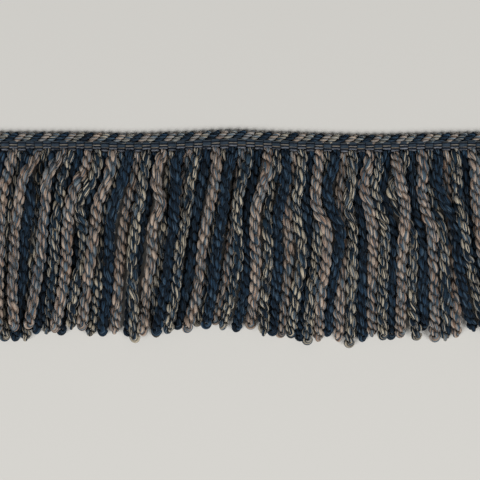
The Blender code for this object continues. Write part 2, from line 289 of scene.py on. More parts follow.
# %% [markdown]
# ## A surface carried along a path
#
# Every yarn here is an oval carried along a curve. Blender's curve objects would do for one plain
# cord. The plies of a bullion cord need an oval that keeps turning with the twist, and a map of where
# each yarn of the ply runs, so the rings are worked out with numpy and joined to a closed skin.
# The map holds turns round the ply and millimetres along it.

# %% Tubes
SIDES = 8


def unit(vectors):
    """Each vector divided by its own length."""
    return vectors / np.linalg.norm(vectors, axis=-1, keepdims=True)


def rings(centres, first, second, half_first, half_second, sides=SIDES):
    """Ovals along a path: centre + first x half_first x cos(turn) + second x half_second x sin(turn)."""
    turn = TURN * np.arange(sides) / sides
    one = (first * np.reshape(half_first, (-1, 1)))[:, None] * np.cos(turn)[None, :, None]
    two = (second * np.reshape(half_second, (-1, 1)))[:, None] * np.sin(turn)[None, :, None]
    return centres[:, None] + one + two


def skin(grid, number, offset):
    """Quads from ring to ring and a flat face on each end, with their places in the yarn map.

    Across the map run turns round the tube plus the tube's own number, and up it millimetres along.
    """
    count, sides = grid.shape[:2]
    i, j = np.meshgrid(np.arange(count - 1), np.arange(sides), indexing="ij")
    after = (j + 1) % sides
    corners = np.stack([i * sides + j, i * sides + after, (i + 1) * sides + after, (i + 1) * sides + j], -1)
    middles = grid.mean(axis=1)
    along = np.append(0, np.cumsum(np.linalg.norm(np.diff(middles, axis=0), axis=1)))
    turns = np.stack([j, j + 1, j + 1, j], -1) / sides + number
    lengths = np.stack([along[i], along[i], along[i + 1], along[i + 1]], -1)
    ends = [np.arange(sides)[::-1], np.arange(sides) + (count - 1) * sides]
    faces = (corners.reshape(-1, 4) + offset).tolist() + [(end + offset).tolist() for end in ends]
    quads = np.stack([turns, lengths], -1).reshape(-1, 2)
    caps = [np.stack([np.arange(sides) / sides + number, np.full(sides, at)], -1) for at in along[[0, -1]]]
    return faces, np.concatenate([quads] + caps)


print("sides of a ply", SIDES)

# %% [markdown]
# ## Tubes joined to a piece
#
# Hundreds of separate objects would be slow and hard to move, so all tubes of one yarn become one mesh.
# Each point carries a painted light, from 0 in a deep hollow to 1 where the yarn stands proud, and the
# material multiplies its colour by it: painted shade in the hollows and under other cords, and painted
# light on the roots and the legs. A shader can look for hollows by itself while it renders, but only in
# one program. The painted light belongs to the mesh, so it goes wherever the mesh goes. Where a yarn
# would dip through the table it is pressed flat on it.

# %% Pieces
TABLE_GAP = 0.03


def painted_hollow_shade(proud, low, high, darkest):
    """Painted shade of a point: darkest up to the height low, 1 from the height high, a smoothstep between.
    """
    share = np.clip((proud - low) / (high - low), 0, 1)
    return darkest + (1 - darkest) * share**2 * (3 - 2 * share)


def yarn_piece(name, tubes, material, stands_for):
    """One smooth piece of many closed tubes, each a grid of points with their painted shade and light.

    It rides on the fringe and stands for its solid.
    """
    grids, painted_lights = zip(*tubes)
    faces, places, offset = [], [], 0
    for number, grid in enumerate(grids):
        more, where = skin(grid, number, offset)
        faces += more
        places.append(where)
        offset += grid.shape[0] * grid.shape[1]
    points = np.concatenate([grid.reshape(-1, 3) for grid in grids])
    points[:, 2] = np.maximum(points[:, 2], TABLE_GAP)
    mesh = bpy.data.meshes.new(name)
    mesh.from_pydata(points * MM, [], faces)
    mesh.uv_layers.new(name="yarn_map").data.foreach_set("uv", np.concatenate(places).ravel())
    # Each point's painted shade and painted light go into the mesh with it.
    lightness = np.concatenate([painted_light.ravel() for painted_light in painted_lights])
    mesh.attributes.new("painted_light", "FLOAT", "POINT").data.foreach_set("value", lightness)
    mesh.shade_smooth()
    mesh.materials.append(material)
    piece = bpy.data.objects.new(name, mesh)
    bpy.context.scene.collection.objects.link(piece)
    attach(piece, "root")
    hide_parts(stands_for)
    print(name, "tubes", len(grids), "triangles", sum(len(face) - 2 for face in faces))
    return piece


print("gap over the table in mm", TABLE_GAP)

# %% [markdown]
# ## Colours and nodes
#
# Colours are given as sRGB hex, as a colour chart gives them, and the shader wants linear light. One
# function adds any kind of node with its settings and links, so that a material reads from top to
# bottom as a list of steps.

# %% Colour and node helpers
def linear(code):
    """Red, green and blue of an sRGB hex colour, as linear light."""
    shares = np.array([int(code[k : k + 2], 16) for k in (1, 3, 5)]) / 255
    return tuple(np.where(shares <= 0.04045, shares / 12.92, ((shares + 0.055) / 1.055) ** 2.4)) + (1,)


def new_material(name, finish):
    """A material and its one shader, with the shader's values set from the finish."""
    material = bpy.data.materials.new(name)
    material.use_nodes = True
    shader = material.node_tree.nodes["Principled BSDF"]
    for socket, value in finish.items():
        shader.inputs[socket].default_value = value
    return material, shader


def add(tree, kind, inputs=None, **settings):
    """Adds a node with its settings; each input is a value, or an output socket to link."""
    made = tree.nodes.new(kind)
    for name, value in settings.items():
        setattr(made, name, value)
    for socket, value in (inputs or {}).items():
        if isinstance(value, bpy.types.NodeSocket):
            tree.links.new(value, made.inputs[socket])
        else:
            made.inputs[socket].default_value = value
    return made.outputs[0]


print("mid grey in linear light", round(float(linear("#808080")[0]), 3))

# %% [markdown]
# ## Yarn that shows its single threads
#
# The yarn is soft spun acrylic or cotton: single threads of several colours laid together as a marl.
# A wave texture would draw stripes of one width and one colour. Here each ply's map is cut into lanes
# that wind slowly round it, one for each single. White noise picks a shade for every single, and a slow
# noise changes it every centimetre or two, as a marl does where one thread sinks and another comes up.
# Twelve singles round a ply 6.8 mm in girth are 0.57 mm wide each, a little over a pixel, so they are
# drawn true.

# %% Single threads
SINGLES = 12
SINGLE_LAY = -50
# Steps of the slow noise from single to single, from ply to ply and in a millimetre along.
SHADE_SCALE = (7.3, 3.1, 0.07)
SHADE_DRIFT = 1.2
SHADE_RAGGED = 0.3


def thread_lanes(tree, turns, along, singles, lay):
    """Place among the lanes, number of the single in its ply, and its height, a half circle across.

    Lanes wind once round the ply in lay millimetres. With c from -1 to 1 across a lane, the height is
    the square root of one less the square of c.
    """
    wound = add(tree, "ShaderNodeMath", {0: along, 1: 1 / lay, 2: turns}, operation="MULTIPLY_ADD")
    lanes = add(tree, "ShaderNodeMath", {0: wound, 1: singles}, operation="MULTIPLY")
    lane = add(tree, "ShaderNodeMath", {0: lanes}, operation="FLOOR")
    single = add(tree, "ShaderNodeMath", {0: lane, 1: singles}, operation="FLOORED_MODULO")
    side = add(tree, "ShaderNodeMath", {0: lanes}, operation="FRACT")
    centred = add(tree, "ShaderNodeMath", {0: side, 1: 2, 2: -1}, operation="MULTIPLY_ADD")
    squared = add(tree, "ShaderNodeMath", {0: centred, 1: centred}, operation="MULTIPLY")
    curved = add(tree, "ShaderNodeMath", {0: 1, 1: squared}, operation="SUBTRACT")
    rounded = add(tree, "ShaderNodeMath", {0: curved, 1: 0.5}, operation="POWER")
    return lanes, single, rounded


def thread_colour(tree, single, ply, along, fibres, shades):
    """Colour of a single: white noise plus slow noise plus ragged fibres picks a place in the shades."""
    key = add(tree, "ShaderNodeCombineXYZ", {0: single, 1: ply})
    picked = add(tree, "ShaderNodeTexWhiteNoise", {0: key}, noise_dimensions="3D")
    slow = add(tree, "ShaderNodeCombineXYZ", {0: single, 1: ply, 2: along})
    stretch = add(tree, "ShaderNodeVectorMath", {0: slow, 1: SHADE_SCALE}, operation="MULTIPLY")
    drift = add(tree, "ShaderNodeTexNoise", {"Vector": stretch, "Scale": 1.0, "Detail": 1.0})
    shifted = add(tree, "ShaderNodeMath", {0: drift, 1: SHADE_DRIFT, 2: picked}, operation="MULTIPLY_ADD")
    ragged = add(tree, "ShaderNodeMath", {0: fibres, 1: SHADE_RAGGED, 2: shifted}, operation="MULTIPLY_ADD")
    choice = add(tree, "ShaderNodeMath", {0: ragged}, operation="FRACT")
    colour = add(tree, "ShaderNodeValToRGB", {0: choice})
    ramp = colour.node.color_ramp
    ramp.interpolation = "CONSTANT"
    starts = [0] + [share for share, _ in shades[:-1]]
    while len(ramp.elements) < len(shades):
        ramp.elements.new(0.5)
    for stop, start, (_, code) in zip(ramp.elements, starts, shades):
        stop.position = start
        stop.color = linear(code)
    return colour


print("singles in a ply", SINGLES, "once round it in mm", abs(SINGLE_LAY))

# %% [markdown]
# ## Soft yarn
#
# Such yarn is matt, with a faint light edge from loose fibres, so the shader is rough, hardly shiny and
# has a little sheen. The fibres themselves are finer than a pixel, and a faint streak a fifth of a
# single wide stands for them. A rounded height across each single gives the bump, and its edges get
# painted shade, as light goes in between the threads.

# %% Yarn material
# Steps of the fibre noise from lane to lane, in a millimetre along and from ply to ply.
FIBRE_SCALE = (5, 0.9, 3.7)
FIBRE_LOW, FIBRE_HIGH = 0.3, 0.7
FIBRE_DIM, FIBRE_BRIGHT = 0.8, 1.2
FIBRE_HEIGHT = 0.35
# Painted shade at the edges of each single: how dark, and how far in it reaches.
GROOVE = 0.7
GROOVE_REACH = 0.75
BUMP_STRENGTH = 0.8
BUMP_DEPTH = 0.15
SOFT_YARN = {"Roughness": 0.85, "Specular IOR Level": 0.1, "Sheen Weight": 0.05, "Sheen Roughness": 0.5}


def marl(name, shades, singles=SINGLES, lay=SINGLE_LAY, groove=GROOVE):
    """Soft spun yarn: shades is a list of the share of the singles up to which a colour reaches."""
    material, shader = new_material(name, SOFT_YARN)
    tree = material.node_tree
    place = add(tree, "ShaderNodeUVMap", uv_map="yarn_map")
    turns = add(tree, "ShaderNodeSeparateXYZ", {0: place})
    along = turns.node.outputs[1]
    ply = add(tree, "ShaderNodeMath", {0: turns}, operation="FLOOR")
    lanes, single, rounded = thread_lanes(tree, turns, along, singles, lay)
    fibre_place = add(tree, "ShaderNodeCombineXYZ", {0: lanes, 1: along, 2: ply})
    fibre_scale = add(tree, "ShaderNodeVectorMath", {0: fibre_place, 1: FIBRE_SCALE}, operation="MULTIPLY")
    fibres = add(tree, "ShaderNodeTexNoise", {"Vector": fibre_scale, "Scale": 1.0, "Detail": 3.0})
    shade = thread_colour(tree, single, ply, along, fibres, shades)

    fibre_light = {0: fibres, 1: FIBRE_LOW, 2: FIBRE_HIGH, 3: FIBRE_DIM, 4: FIBRE_BRIGHT}
    light = add(tree, "ShaderNodeMapRange", fibre_light)
    # Painted shade at the edges of each single.
    dark = add(tree, "ShaderNodeMapRange", {0: rounded, 1: 0.0, 2: GROOVE_REACH, 3: 1 - groove, 4: 1.0})
    # The mesh's painted light: painted shade in hollows and under cords, painted light on roots and legs.
    painted_light = add(tree, "ShaderNodeAttribute", attribute_name="painted_light").node.outputs["Fac"]
    lit = add(tree, "ShaderNodeMath", {0: light, 1: dark}, operation="MULTIPLY")
    painted_scale = add(tree, "ShaderNodeMath", {0: lit, 1: painted_light}, operation="MULTIPLY")
    colour = add(tree, "ShaderNodeVectorMath", {0: shade, "Scale": painted_scale}, operation="SCALE")
    tree.links.new(colour, shader.inputs["Base Color"])

    height = add(tree, "ShaderNodeMath", {0: fibres, 1: FIBRE_HEIGHT, 2: rounded}, operation="MULTIPLY_ADD")
    relief = {"Height": height, "Strength": BUMP_STRENGTH, "Distance": BUMP_DEPTH * MM}
    bump = add(tree, "ShaderNodeBump", relief)
    tree.links.new(bump, shader.inputs["Normal"])
    return material


print("relief of the yarn in mm", BUMP_DEPTH)

# %% [markdown]
# ## The three colours
#
# Each list says up to which share of the threads a colour reaches. The colours were chosen, and
# changed until the render's cords had the same mean colour as the photograph's. A plain colour would
# match that mean too, but it would look like moulded rubber.

# %% Cord yarns
# Navy yarn reads as one deep colour, with a few worn lighter threads.
NAVY = [(0.25, "#111d29"), (0.47, "#1b2f41"), (0.68, "#0c141d"), (0.87, "#243b50"), (1, "#3d5162")]
# Half the taupe yarn's threads are blue grey, so from afar it is a pinkish grey.
TAUPE = [
    (0.24, "#9f8e81"), (0.4, "#b4a393"), (0.52, "#846b5b"),
    (0.68, "#364653"), (0.84, "#52636f"), (1, "#757c80"),
]
# A third of the cream yarn's threads are pale and most others navy, so its beads look striped.
CREAM = [
    (0.2, "#b6ab96"), (0.33, "#978f82"), (0.6, "#13202d"),
    (0.78, "#1d303e"), (0.9, "#334757"), (1, "#5f6970"),
]
CORD_YARNS = {
    "navy": marl("navy cord yarn", NAVY),
    "taupe": marl("taupe and blue grey marl yarn", TAUPE),
    "cream": marl("cream and navy marl yarn", CREAM),
}
print("materials", [material.name for material in CORD_YARNS.values()])

# %% [markdown]
# ## The bullion cords
#
# A bullion cord is one yarn of three plies, folded in two and left to twist on itself. The plies turn
# one way inside each leg and the two legs turn the other way round each other. The two turns nearly
# cancel, so every ply comes to the surface along a line almost parallel to the cord, and shows there
# as a pointed bead. Three such columns of beads face the viewer. Carving beads on a cylinder would
# only look right from one side, so each ply is carried along its real path: down one leg, round the
# loop at the tip, and up the other.

# %% Build of a cord
PLIES = 3
# A leg lies this far from the cord's line, and a ply this far from its leg's line.
LEG_OFFSET = 1.1
PLY_OFFSET = 0.94
PLY_HALF_THICK = 0.95
PLY_HALF_WIDE = 1.2
PLY_REACH = LEG_OFFSET + PLY_OFFSET
CORD_RADIUS = PLY_REACH + PLY_HALF_THICK
CORD_LAY = 11.1
LEG_LAY = 14.4
print("a ply comes to the surface every", round(1 / (1 / CORD_LAY + 1 / LEG_LAY), 1), "mm")

# %% [markdown]
# ## The middle line of a cord
#
# The warps hold a cord tight where it leaves the weave, so its root is thinner and swells to full size
# over the next few millimetres. The roots of neighbouring cords start at two depths in turn, because the
# lowest warp goes over one and under the next. No cord lies over a root, so roots get painted light: their
# colour is made lighter than the rest. Along the line the cord also carries its painted shade from the
# cords above it.

# %% Middle lines
FINE_STEP = 0.12
ROOT_DEPTHS = (-1.2, -0.3)
ROOT_SHARE = 0.8
ROOT_REACH = 7
ROOT_LIGHT = 0.5
ROOT_START_SHARE = 0.55
ROOT_ROUND = 1.2
SHADE_LOSS = 0.72
Line = namedtuple("Line", "at points ahead side up size light")


def centre_line(index):
    """The cord's centre from its tip up to its root, FINE_STEP apart, with its frame, size and painted
    light.

    The size grows from ROOT_SHARE to 1 by a smoothstep, and its first millimetre is rounded off.
    """
    first = ROOT_DEPTHS[index % len(ROOT_DEPTHS)] + sag(stitch_x(index)) - heading_wave(stitch_x(index))
    inside = (rows <= drops[index] - CORD_RADIUS) & (rows >= first)
    x = ORIGIN_X + across[index][inside]
    y = ORIGIN_Y + sag(stitch_x(index)) - rows[inside]
    path = np.stack([x, y, heights[index][inside]], axis=-1)[::-1]
    run = np.append(0, np.cumsum(np.linalg.norm(np.diff(path, axis=0), axis=1)))
    at = np.arange(0, run[-1], FINE_STEP)
    points = np.stack([np.interp(at, run, path[:, k]) for k in range(3)], axis=-1)
    ahead = unit(np.gradient(points, axis=0))
    side = unit(np.cross(ahead, (0, 0, 1)))
    up = np.cross(side, ahead)
    grown = np.clip((run[-1] - at) / ROOT_REACH, 0, 1)
    rounded = np.clip((run[-1] - at) / ROOT_ROUND, 0, 1)
    size = ROOT_SHARE + (1 - ROOT_SHARE) * grown**2 * (3 - 2 * grown)
    size *= ROOT_START_SHARE + (1 - ROOT_START_SHARE) * np.sqrt(1 - (1 - rounded) ** 2)
    # Painted shade under higher cords, and painted light on the root.
    light = 1 - SHADE_LOSS * np.interp(at, run, shaded[index][inside][::-1])
    light *= 1 + ROOT_LIGHT * (1 - grown)
    return Line(at, points, ahead, side, up, size, light)


print("middle line of the first cord in mm", round(centre_line(0).at[-1], 1))

# %% [markdown]
# ## How the twist runs
#
# The cords twist themselves once they are off the loom, so no two are alike. Each has its own lay, and
# its turns wander on the way. The loop at the tip holds the twist that has run down to it, so the last
# few millimetres are twisted tighter. The tips lie rolled by chance. One twist for all would show as a
# printed grid.

# %% Twist of a cord
TIP_EXTRA = 3.2
TIP_REACH = 5
TIP_ROLL = (-1.3, 1.3)
LAY_RANGE = (0.9, 1.1)
# How far an angle wanders, in radians, and its longest wave.
LEG_WANDER = (0.45, 60)
PLY_WANDER = (0.45, 50)


def wandering(rng, at, spread, longest):
    """A smooth random curve: three sines of random phase, each half as long as the one before."""
    phases = rng.uniform(0, TURN, 3)
    waves = [np.sin(TURN * at * 2**k / longest + phase) / 1.5**k for k, phase in enumerate(phases)]
    return spread * (sum(waves) - sum(wave[0] for wave in waves))


def rolled(line, roll):
    """The same line with its frame turned about the cord: side x cos + up x sin, up x cos - side x sin."""
    side = line.side * np.cos(roll) + line.up * np.sin(roll)
    up = line.up * np.cos(roll) - line.side * np.sin(roll)
    return line._replace(side=side, up=up)


def twist(at, rng):
    """Angle of the first leg, angle of the first ply, and how far a ply turns round the loop.

    A leg's angle grows by one turn in a lay. A ply's shrinks by one turn in its own longer lay. The
    length that is twisted is at + TIP_EXTRA x (1 - exp(-at / TIP_REACH)).
    """
    lay = CORD_LAY * rng.uniform(*LAY_RANGE)
    ply_lay = LEG_LAY * lay / CORD_LAY
    loop_turn = TURN / ply_lay * np.pi * LEG_OFFSET
    twisted = at + TIP_EXTRA * (1 - np.exp(-at / TIP_REACH))
    leg = TURN * twisted / lay + wandering(rng, at, *LEG_WANDER)
    ply = -loop_turn / 2 - TURN * twisted / ply_lay + wandering(rng, at, *PLY_WANDER)
    return leg, ply, loop_turn


print("twist added at a tip in turns of the legs", round(TIP_EXTRA / CORD_LAY, 2))

# %% [markdown]
# ## Beads along a leg
#
# A ply faces half way between its leg's angle and its own. Its centre moves that way by the cosine of
# half their difference, from full reach through the middle to the far side. A tanh of the cosine keeps
# it near the surface longer, as soft plies press outwards, and the ply is slimmer where it dives. The
# sine of half the difference moves it sideways by what the leg lies further out than the ply, so each
# bead leans with its leg and the two legs stay apart.

# %% Plies on a leg
BEAD_CRISPNESS = 3
BEAD_TAPER = 0.78
BEAD_CROWN = 0.35
BEAD_STATIONS = (0, 0.17, 0.3, 0.4, 0.5, 0.6, 0.7, 0.83)


def bead_stations(diving):
    """Places in the fine path that carry a ring: few along each bead, close together where it dives."""
    halves = np.arange(np.floor(diving[0] / np.pi), np.ceil(diving[-1] / np.pi))
    wanted = (halves[:, None] + BEAD_STATIONS) * np.pi
    last = len(diving) - 1
    return np.unique(np.append(np.searchsorted(diving, wanted.ravel()), (0, last)).clip(0, last))


def ply_on_leg(line, leg, ply, swell, sign):
    """Rings of one ply on one leg: centre = line + size x (reach x first axis + aside).

    Reach is PLY_REACH x tanh(crispness x cos) / tanh(crispness), and aside the offsets' difference x
    sin along the second axis. The last three parts say where the line is at each ring, its size and
    its light.
    """
    kept = bead_stations((leg - ply) / 2)
    facing, diving = (leg + ply)[kept, None] / 2, (leg - ply)[kept, None] / 2
    first = line.side[kept] * np.cos(facing) + line.up[kept] * np.sin(facing)
    second = sign * (line.up[kept] * np.cos(facing) - line.side[kept] * np.sin(facing))
    reach = np.tanh(BEAD_CRISPNESS * np.cos(diving)) / np.tanh(BEAD_CRISPNESS)
    aside = (LEG_OFFSET - PLY_OFFSET) * np.sin(diving) * sign * second
    centres = line.points[kept] + line.size[kept, None] * (PLY_REACH * reach * first + aside)
    dive = np.sin(diving)[:, 0] ** 2
    thick = swell[kept] * PLY_HALF_THICK * (1 - BEAD_CROWN * dive)
    wide = swell[kept] * PLY_HALF_WIDE * (1 - BEAD_TAPER * dive**2)
    return centres, first, second, thick, wide, line.points[kept], line.size[kept], line.light[kept]


print("rings on a bead", len(BEAD_STATIONS))

# %% [markdown]
# ## The loop at the tip
#
# The fold of the yarn stays open as a small loop, as wide as the two legs are apart. Each ply goes half
# way round it while it keeps its own turn in the yarn, so it leaves one leg and joins the other
# without a break, and the tip looks like a knuckle of yarn and not like a cut end.

# %% Plies round the tip
LOOP_STATIONS = 7
LOOP_WIDTH = 0.8


def ply_round_tip(line, own, loop_turn):
    """Rings of one ply on the loop: centre = tip + outward x LEG_OFFSET + a circle of PLY_OFFSET.

    Outward goes half round, from one leg through straight ahead to the other.
    """
    loop = np.linspace(0, np.pi, LOOP_STATIONS + 2)[1:-1, None]
    outward = np.cos(loop) * line.side[0] - np.sin(loop) * line.ahead[0]
    ply = -loop_turn / 2 + own + loop_turn * loop / np.pi
    bend = outward * PLY_OFFSET * np.cos(ply) + line.up[0] * PLY_OFFSET * np.sin(ply)
    centres = line.points[0] + outward * LEG_OFFSET + bend
    first = outward * np.cos(ply / 2) + line.up[0] * np.sin(ply / 2)
    second = line.up[0] * np.cos(ply / 2) - outward * np.sin(ply / 2)
    thick = np.full(LOOP_STATIONS, PLY_HALF_THICK)
    wide = np.full(LOOP_STATIONS, LOOP_WIDTH * PLY_HALF_WIDE)
    middle = np.tile(line.points[0], (LOOP_STATIONS, 1))
    light = np.full(LOOP_STATIONS, line.light[0])
    return centres, first, second, thick, wide, middle, np.ones(LOOP_STATIONS), light


print("length of the loop in mm", round(np.pi * LEG_OFFSET, 1))

# %% [markdown]
# ## Whole cords
#
# The parts of each ply are joined from root to tip and back, and a ply swells and shrinks a little on
# the way. Soft cords settle under their own weight, so each is pressed a little flat. The colour gets
# painted shade between the beads and on the flanks of each ply, and stays light on their crowns. Real
# plies press together in the middle, where round ones leave a hollow, so a plain core fills it, painted
# in deep shade.

# %% Tubes of a ply
FLATTENING = 0.9
# Painted shade on the flanks of each ply, as a share.
FLANK_LOSS = 0.18
# Painted shade in the hollows: the share of the radius up to which a point is darkest, the share
# where it is lightest, and how dark.
CORD_HOLLOWS = (0.35, 0.85, 0.35)


def ply_tube(*parts):
    """The rings of a ply, pressed flat, with their painted shade.

    A point stands proud by its distance from the cord's line over the cord's radius, less a share of
    it on the flanks of the ply, and gets more painted shade the less it stands proud.
    """
    *oval, middles, sizes, lights = [np.concatenate(part) for part in zip(*parts)]
    grid = rings(*oval)
    out = np.linalg.norm(grid - middles[:, None], axis=-1) / (sizes[:, None] * CORD_RADIUS)
    grid[..., 2] = middles[:, None, 2] + FLATTENING * (grid[..., 2] - middles[:, None, 2])
    facing_out = np.abs(np.cos(TURN * np.arange(SIDES) / SIDES))
    proud = out * (1 - FLANK_LOSS * (1 - facing_out))
    return grid, painted_hollow_shade(proud, *CORD_HOLLOWS) * lights[:, None]


print("a cord is pressed to", FLATTENING, "of its height")

# %% Cords
SEED = 63
# How far a ply swells, as a share, and its longest wave.
SWELL = (0.09, 22)
CORE_HALF = 1.7
CORE_SIDES = 6
CORE_STEP = 12
# The core is painted this dark, as painted shade deep inside the cord.
CORE_SHADE = 0.45


def bullion_cord(index, rng):
    """The three plies of one cord, each a tube down one leg, round the loop and up the other."""
    line = rolled(centre_line(index), rng.uniform(*TIP_ROLL))
    leg, ply, loop_turn = twist(line.at, rng)
    tubes = []
    for number in range(PLIES):
        own = TURN * number / PLIES
        swell = line.size * (1 + wandering(rng, line.at, *SWELL))
        down = ply_on_leg(line, leg, ply + own, swell, 1)
        turned = ply_round_tip(line, own, loop_turn)
        up = ply_on_leg(line, leg + np.pi, ply + np.pi - own, swell, -1)
        tubes.append(ply_tube([part[::-1] for part in down], turned, up))
    return tubes


def cord_core(index):
    """The middle of a cord, where the soft plies press together: one plain tube inside the beads, in
    painted shade.
    """
    line = centre_line(index)
    kept = np.arange(CORE_STEP, len(line.points), CORE_STEP)
    half = CORE_HALF * line.size[kept]
    grid = rings(line.points[kept], line.side[kept], -line.up[kept], half, half * FLATTENING, CORE_SIDES)
    return grid, np.tile(CORE_SHADE * line.light[kept, None], (1, CORE_SIDES))


cord_rng = np.random.default_rng(SEED)
cords = [bullion_cord(index, cord_rng) for index in range(STITCHES)]
print("cords", len(cords), "rings on the first ply", len(cords[0][0][0]))

# %% [markdown]
# ## Cords by colour
#
# The colours repeat in threes, as the yarns are fed to the loom in turn. Each colour is joined in three
# stretches of the heading. One piece for each colour would be too heavy to handle, and one for each
# cord would make too many.

# %% Pieces of the skirt
YARNS = ("navy", "taupe", "cream")
STRETCHES = 3
for colour_place, colour in enumerate(YARNS):
    own_cords = range(colour_place, STITCHES, len(YARNS))
    for stretch, indices in enumerate(np.array_split(own_cords, STRETCHES), start=1):
        tubes = [tube for index in indices for tube in cords[index]]
        tubes += [cord_core(index) for index in indices]
        yarn_piece(f"{colour}_cords_{stretch}", tubes, CORD_YARNS[colour], "bullion_skirt")

# %% [markdown]
# ## The heading's warp
#
# The heading is plain weave. Thin warp yarns run along it, over one stitch and under the next, and
# each stitch is a hump of weft. The odd and even warps take turns, so neighbouring stitches show
# different yarns, and dark slits stand between them. A flat band with a picture of a weave would have
# no slits, so each warp is its own tube with a height that follows a softened square wave.

# %% Colours of the warp
Warp = namedtuple("Warp", "yarn row half_width parity")
WARPS = (
    Warp("dim", 5.30, 0.28, 0),
    Warp("slate", 4.60, 0.50, 0),
    Warp("dark", 3.95, 0.40, 0),
    Warp("cream", 3.28, 0.30, 0),
    Warp("dark", 2.56, 0.40, 0),
    Warp("pale", 1.85, 0.48, 0),
    Warp("dim", 4.78, 0.30, 1),
    Warp("dark", 4.10, 0.40, 1),
    Warp("slate", 3.45, 0.44, 1),
    Warp("slate", 2.80, 0.44, 1),
    Warp("tan", 2.15, 0.28, 1),
    Warp("dark", 1.50, 0.40, 1),
    Warp("pale", 0.80, 0.52, 1),
)
# Warp yarn is plain and thin, in few shades, so each row reads as one stripe of its own colour.
WARP_SHADES = {
    "tan": [(0.35, "#7b7266"), (0.7, "#4a515a"), (1, "#5d5a55")],
    "slate": [(0.5, "#303c48"), (1, "#3a4753")],
    "dark": [(0.5, "#151e29"), (1, "#1c2532")],
    "cream": [(0.35, "#868076"), (0.7, "#736f69"), (1, "#4d545c")],
    "pale": [(0.5, "#666b74"), (1, "#797d85")],
    "dim": [(0.5, "#3a4249"), (0.8, "#4b4d4c"), (1, "#2b3640")],
}
print("warps", len(WARPS), "in yarns", len(WARP_SHADES))

# %% Warp yarns
WARP_MID = 1.65
WARP_RISE = 0.95
WARP_CRISPNESS = 3.0
WARP_HALF_THICK = 0.4
WARP_WANDER = (0.05, 31)
WARP_SIDES = 6
WARP_SINGLES = 4
WARP_LAY = 9
# Painted shade at the edges of a warp's singles.
WARP_GROOVE = 0.3
# Painted shade where a warp dips between the stitches: from, to, and how dark.
WARP_HOLLOWS = (0.7, 0.96, 0.1)
CELL_STATIONS = 8


def warp_tube(warp, rng):
    """A warp yarn: its height is the softened square wave tanh of a cosine, two stitches to a wave."""
    place = np.linspace(-0.5, STITCHES - 0.5, STITCHES * CELL_STATIONS + 1)
    x = stitch_x(place)
    wave = np.tanh(WARP_CRISPNESS * np.cos(np.pi * (place - warp.parity))) / np.tanh(WARP_CRISPNESS)
    y = warp.row + heading_wave(x) + wandering(rng, x, *WARP_WANDER)
    centres = np.stack([ORIGIN_X + x, ORIGIN_Y + y, WARP_MID + WARP_RISE * wave], axis=-1)
    ahead = unit(np.gradient(centres, axis=0))
    side = unit(np.cross(ahead, (0, 0, 1)))
    up = np.cross(side, ahead)
    half_wide = np.full(len(x), warp.half_width)
    half_thick = np.full(len(x), WARP_HALF_THICK)
    grid = rings(centres, side, -up, half_wide, half_thick, WARP_SIDES)
    # Painted shade where the warp dips, from the same wave as its height.
    return grid, np.tile(painted_hollow_shade((wave[:, None] + 1) / 2, *WARP_HOLLOWS), (1, WARP_SIDES))


warp_rng = np.random.default_rng(SEED + 1)
for yarn, shades in WARP_SHADES.items():
    material = marl(f"{yarn} warp yarn", shades, WARP_SINGLES, WARP_LAY, WARP_GROOVE)
    tubes = [warp_tube(warp, warp_rng) for warp in WARPS if warp.yarn == yarn]
    yarn_piece(f"{yarn}_warps", tubes, material, "heading")

# %% [markdown]
# ## The slanted rows over the top edge
#
# Above the warps the weft is free. Each leg of yarn leans to the right at about forty degrees, runs to
# the top edge and wraps round it as a helix, so the edge is a row of slanting ropes in the cords' own
# order. Their plies lie almost level there, because the leg's own twist slopes as much as the leg leans.
# The nearer a leg comes to the edge, the lighter its colour is painted: painted light that grows on the
# way.

# %% Path of a leg
LEG_LEAN = np.radians(40)
LEG_LOW = 4.4
LEG_TOP = 8.58
LEG_HEIGHT = 1.85
LEG_STEP = 0.6
LEG_DIVE = 1.1
LEG_DIVE_RUN = 3.0
# Painted shade at a leg's start and painted light towards the edge: its colour is scaled from LEG_LIGHT up
# by EDGE_LIGHT.
LEG_LIGHT = 0.8
EDGE_LIGHT = 0.95
EDGE_BEND = 1.4
EDGE_DIP = Bell(-0.55, 80, 32)


def leg_path(index):
    """Straight up the slant, then a quarter turn of a helix round the edge, cut at the heading's ends.

    It dives into the weave at its start, by a parabola. Its painted light grows by the cube of the way
    gone.
    """
    bend_run = EDGE_BEND * np.pi / 2 / np.sin(LEG_LEAN)
    straight_run = (LEG_TOP - EDGE_BEND - LEG_LOW) / np.sin(LEG_LEAN)
    at = np.arange(0, straight_run + bend_run + LEG_STEP / 2, LEG_STEP)
    bend = np.clip(at - straight_run, 0, bend_run) * np.sin(LEG_LEAN) / EDGE_BEND
    forward = np.minimum(at, straight_run) * np.sin(LEG_LEAN) + EDGE_BEND * np.sin(bend)
    x = stitch_x(index) + at * np.cos(LEG_LEAN)
    y = heading_wave(x) + bell(EDGE_DIP, x) + LEG_LOW + forward
    z = LEG_HEIGHT - EDGE_BEND * (1 - np.cos(bend)) - LEG_DIVE * np.clip(1 - at / LEG_DIVE_RUN, 0, 1) ** 2
    kept = np.abs(x) <= STITCHES * PITCH / 2
    light = LEG_LIGHT + EDGE_LIGHT * (at / at[-1]) ** 3
    return at[kept], np.stack([ORIGIN_X + x, ORIGIN_Y + y, z], axis=-1)[kept], light[kept, None]


print("rings on a leg", len(leg_path(0)[0]))

# %% Plies of a leg
LEG_PLY_OFFSET = 0.68
LEG_PLY_HALF = 0.78
LEG_PLY_LAY = 6.5
LEG_THICK = 0.95
LEG_WIDE = 1.1
LEG_SWELL = (0.04, 9)
LEG_SIDES = 7
# Painted shade in the hollows between a leg's plies.
LEG_HOLLOWS = (0.3, 0.88, 0.1)


